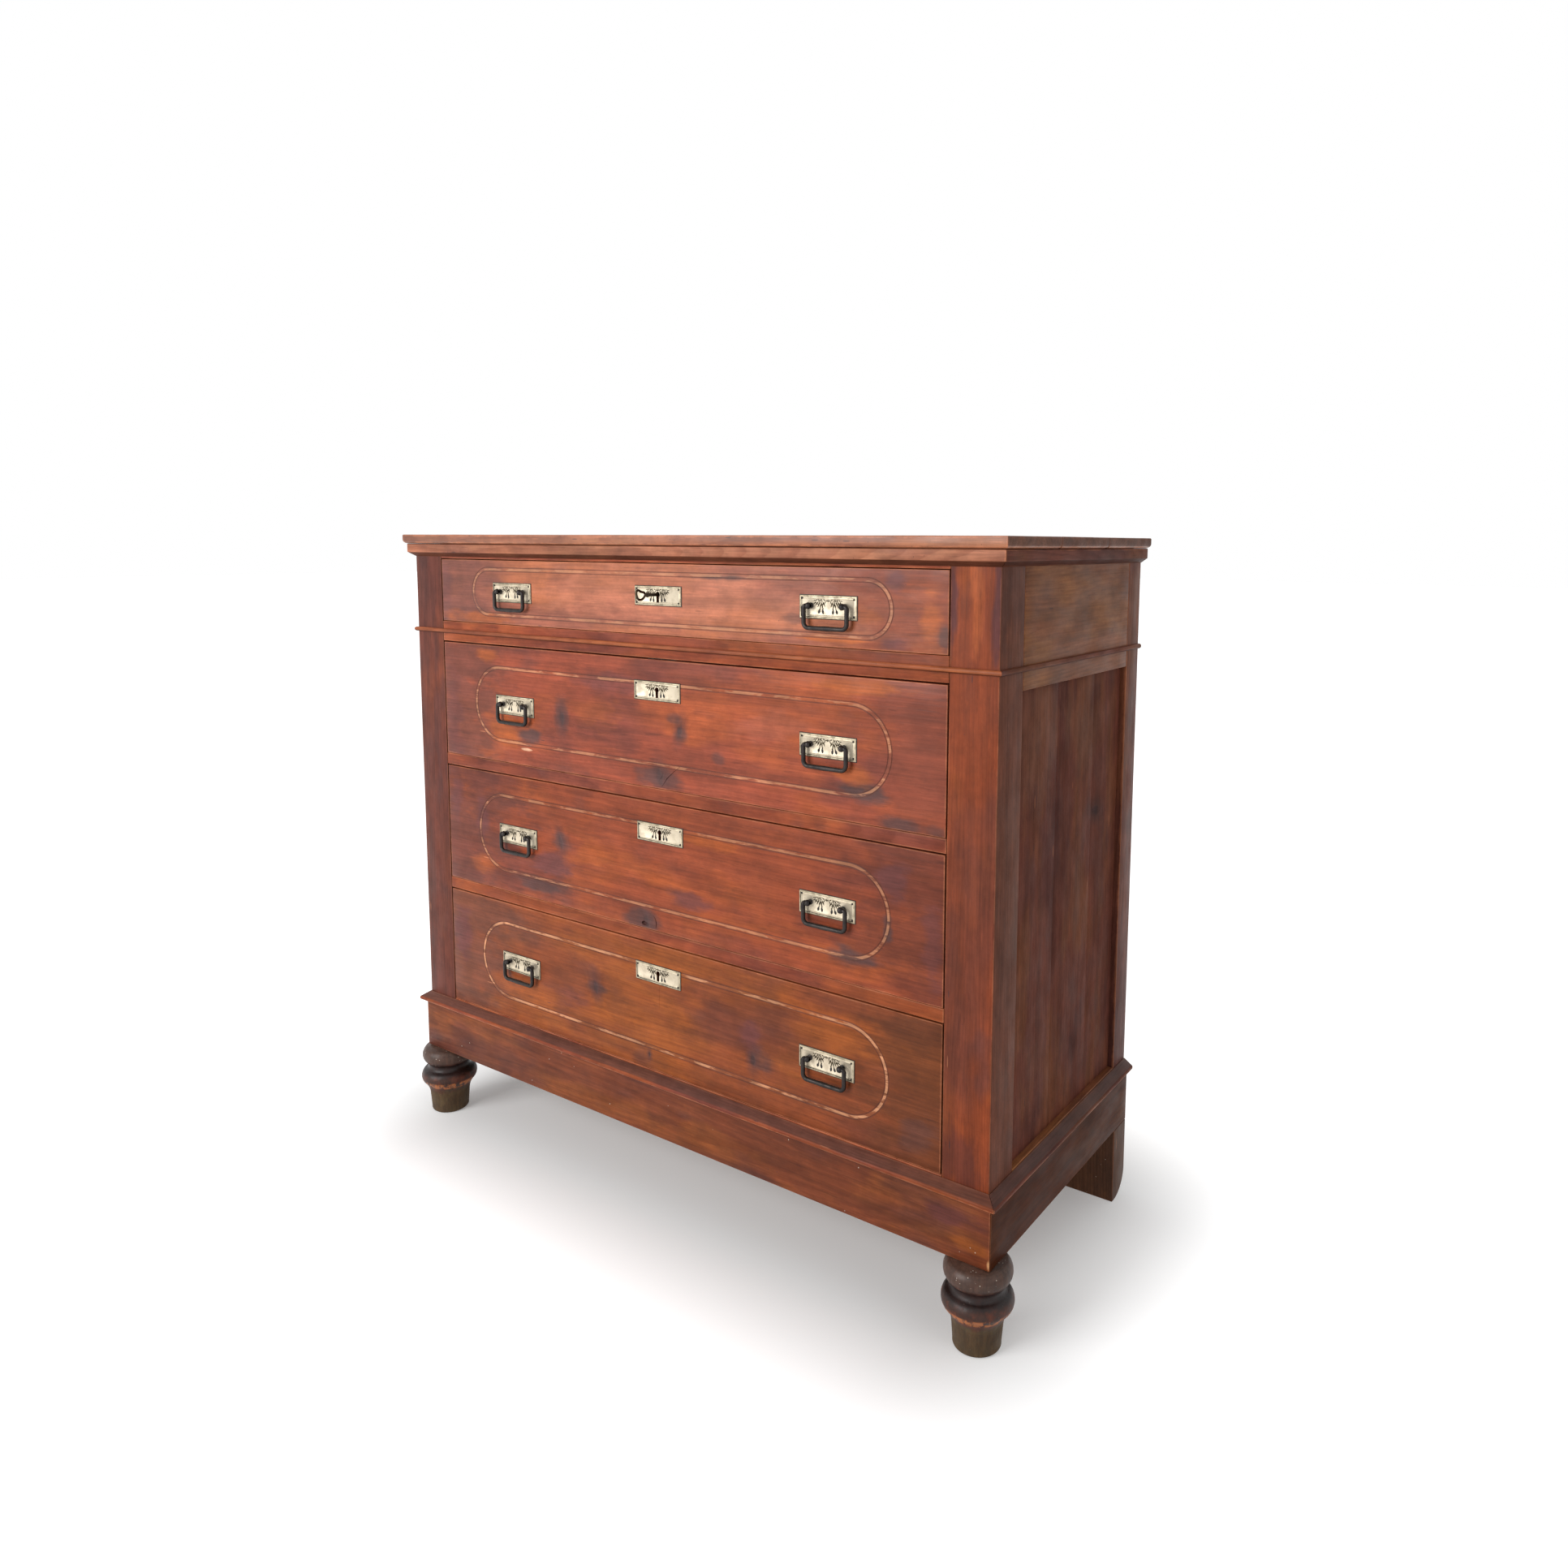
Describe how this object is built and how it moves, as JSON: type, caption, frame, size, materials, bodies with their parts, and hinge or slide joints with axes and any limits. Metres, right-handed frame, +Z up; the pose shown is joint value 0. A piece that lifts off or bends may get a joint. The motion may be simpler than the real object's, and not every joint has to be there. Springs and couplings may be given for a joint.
{
  "type": "bachelors chest",
  "caption": "Bachelor's chest in stained pine: drawers with stamped pull plates and drop bails, plinth, turned front feet and block rear feet.",
  "frame": {"origin": "on the floor, under the middle of the whole chest", "axes": "+Z up, +X towards the right of someone facing the drawers, +Y towards the back"},
  "size_m": [1.137, 0.4906, 1],
  "materials": {
    "stained_pine": "red-brown stained pine, waxed and worn on its edges",
    "raw_pine": "bare softwood, darkened with age",
    "nickel_silver": "stamped pale alloy plate, dulled",
    "dark_iron": "dark bronzed iron, rubbed",
    "lock_steel": "plain rolled steel, tarnished"
  },
  "bodies": {
    "carcass": {"top_board_front": "stained_pine", "top_board_middle": "stained_pine", "top_board_rear": "stained_pine", "cornice": "stained_pine", "waist_bead": "stained_pine", "plinth_cap": "stained_pine", "plinth_front": "stained_pine", "plinth_left": "stained_pine", "plinth_right": "stained_pine", "plinth_rear": "raw_pine", "corner_blocks": "raw_pine", "front_foot_left": "stained_pine", "front_foot_right": "stained_pine", "rear_foot_left": "stained_pine", "rear_foot_right": "stained_pine", "front_post_left": "stained_pine", "front_post_right": "stained_pine", "rear_posts": "stained_pine", "frieze_rails": "stained_pine", "sill_rails": "raw_pine", "side_panel_left": "stained_pine", "side_panel_right": "stained_pine", "front_rails": "stained_pine", "rear_rails": "raw_pine", "back_boards": "raw_pine", "drawer_runners": "raw_pine", "drawer_guides": "raw_pine"},
    "drawer_1": {"drawer_1_front": "stained_pine", "drawer_1_box": "raw_pine", "drawer_1_plates": "nickel_silver", "drawer_1_studs": "dark_iron", "drawer_1_lock": "lock_steel"},
    "drawer_1_bolt": {"drawer_1_bolt": "lock_steel"},
    "bail_1_left": {"bail_1_left": "dark_iron"},
    "bail_1_right": {"bail_1_right": "dark_iron"},
    "drawer_2": {"drawer_2_front": "stained_pine", "drawer_2_box": "raw_pine", "drawer_2_plates": "nickel_silver", "drawer_2_studs": "dark_iron", "drawer_2_lock": "lock_steel"},
    "drawer_2_bolt": {"drawer_2_bolt": "lock_steel"},
    "bail_2_left": {"bail_2_left": "dark_iron"},
    "bail_2_right": {"bail_2_right": "dark_iron"},
    "drawer_3": {"drawer_3_front": "stained_pine", "drawer_3_box": "raw_pine", "drawer_3_plates": "nickel_silver", "drawer_3_studs": "dark_iron", "drawer_3_lock": "lock_steel"},
    "drawer_3_bolt": {"drawer_3_bolt": "lock_steel"},
    "bail_3_left": {"bail_3_left": "dark_iron"},
    "bail_3_right": {"bail_3_right": "dark_iron"},
    "drawer_4": {"drawer_4_front": "stained_pine", "drawer_4_box": "raw_pine", "drawer_4_plates": "nickel_silver", "drawer_4_studs": "dark_iron", "drawer_4_lock": "lock_steel"},
    "drawer_4_bolt": {"drawer_4_bolt": "lock_steel"},
    "bail_4_left": {"bail_4_left": "dark_iron"},
    "bail_4_right": {"bail_4_right": "dark_iron"},
    "key": {"key": "dark_iron"}
  },
  "joints": [
    {"name": "drawer_1_slide", "type": "slide", "parent": "carcass", "child": "drawer_1", "axis": [0, -1, 0], "range_m": [0, 0.3]},
    {"name": "drawer_1_bolt_throw", "type": "slide", "parent": "drawer_1", "child": "drawer_1_bolt", "axis": [0, 0, 1], "range_m": [0, 0.008]},
    {"name": "bail_1_left_swing", "type": "hinge", "parent": "drawer_1", "child": "bail_1_left", "pos_m": [-0.302, -0.20825, 0.9114], "axis": [-1, 0, 0], "range_deg": [-8, 172]},
    {"name": "bail_1_right_swing", "type": "hinge", "parent": "drawer_1", "child": "bail_1_right", "pos_m": [0.302, -0.20825, 0.9114], "axis": [-1, 0, 0], "range_deg": [-8, 172]},
    {"name": "drawer_2_slide", "type": "slide", "parent": "carcass", "child": "drawer_2", "axis": [0, -1, 0], "range_m": [0, 0.3]},
    {"name": "drawer_2_bolt_throw", "type": "slide", "parent": "drawer_2", "child": "drawer_2_bolt", "axis": [0, 0, 1], "range_m": [0, 0.008]},
    {"name": "bail_2_left_swing", "type": "hinge", "parent": "drawer_2", "child": "bail_2_left", "pos_m": [-0.302, -0.20825, 0.7335], "axis": [-1, 0, 0], "range_deg": [-8, 172]},
    {"name": "bail_2_right_swing", "type": "hinge", "parent": "drawer_2", "child": "bail_2_right", "pos_m": [0.302, -0.20825, 0.7335], "axis": [-1, 0, 0], "range_deg": [-8, 172]},
    {"name": "drawer_3_slide", "type": "slide", "parent": "carcass", "child": "drawer_3", "axis": [0, -1, 0], "range_m": [0, 0.3]},
    {"name": "drawer_3_bolt_throw", "type": "slide", "parent": "drawer_3", "child": "drawer_3_bolt", "axis": [0, 0, 1], "range_m": [0, 0.008]},
    {"name": "bail_3_left_swing", "type": "hinge", "parent": "drawer_3", "child": "bail_3_left", "pos_m": [-0.302, -0.20825, 0.5242], "axis": [-1, 0, 0], "range_deg": [-8, 172]},
    {"name": "bail_3_right_swing", "type": "hinge", "parent": "drawer_3", "child": "bail_3_right", "pos_m": [0.302, -0.20825, 0.5242], "axis": [-1, 0, 0], "range_deg": [-8, 172]},
    {"name": "drawer_4_slide", "type": "slide", "parent": "carcass", "child": "drawer_4", "axis": [0, -1, 0], "range_m": [0, 0.3]},
    {"name": "drawer_4_bolt_throw", "type": "slide", "parent": "drawer_4", "child": "drawer_4_bolt", "axis": [0, 0, 1], "range_m": [0, 0.008]},
    {"name": "bail_4_left_swing", "type": "hinge", "parent": "drawer_4", "child": "bail_4_left", "pos_m": [-0.302, -0.20825, 0.31145], "axis": [-1, 0, 0], "range_deg": [-8, 172]},
    {"name": "bail_4_right_swing", "type": "hinge", "parent": "drawer_4", "child": "bail_4_right", "pos_m": [0.302, -0.20825, 0.31145], "axis": [-1, 0, 0], "range_deg": [-8, 172]},
    {"name": "key_turn", "type": "hinge", "parent": "drawer_1", "child": "key", "pos_m": [0.009, -0.22575, 0.9171], "axis": [0, 1, 0], "range_deg": [0, 360]}
  ],
  "couplings": [
    {"joint": "key_turn", "follows": "drawer_1_bolt_throw", "rad_per_m": 785.4}
  ]
}
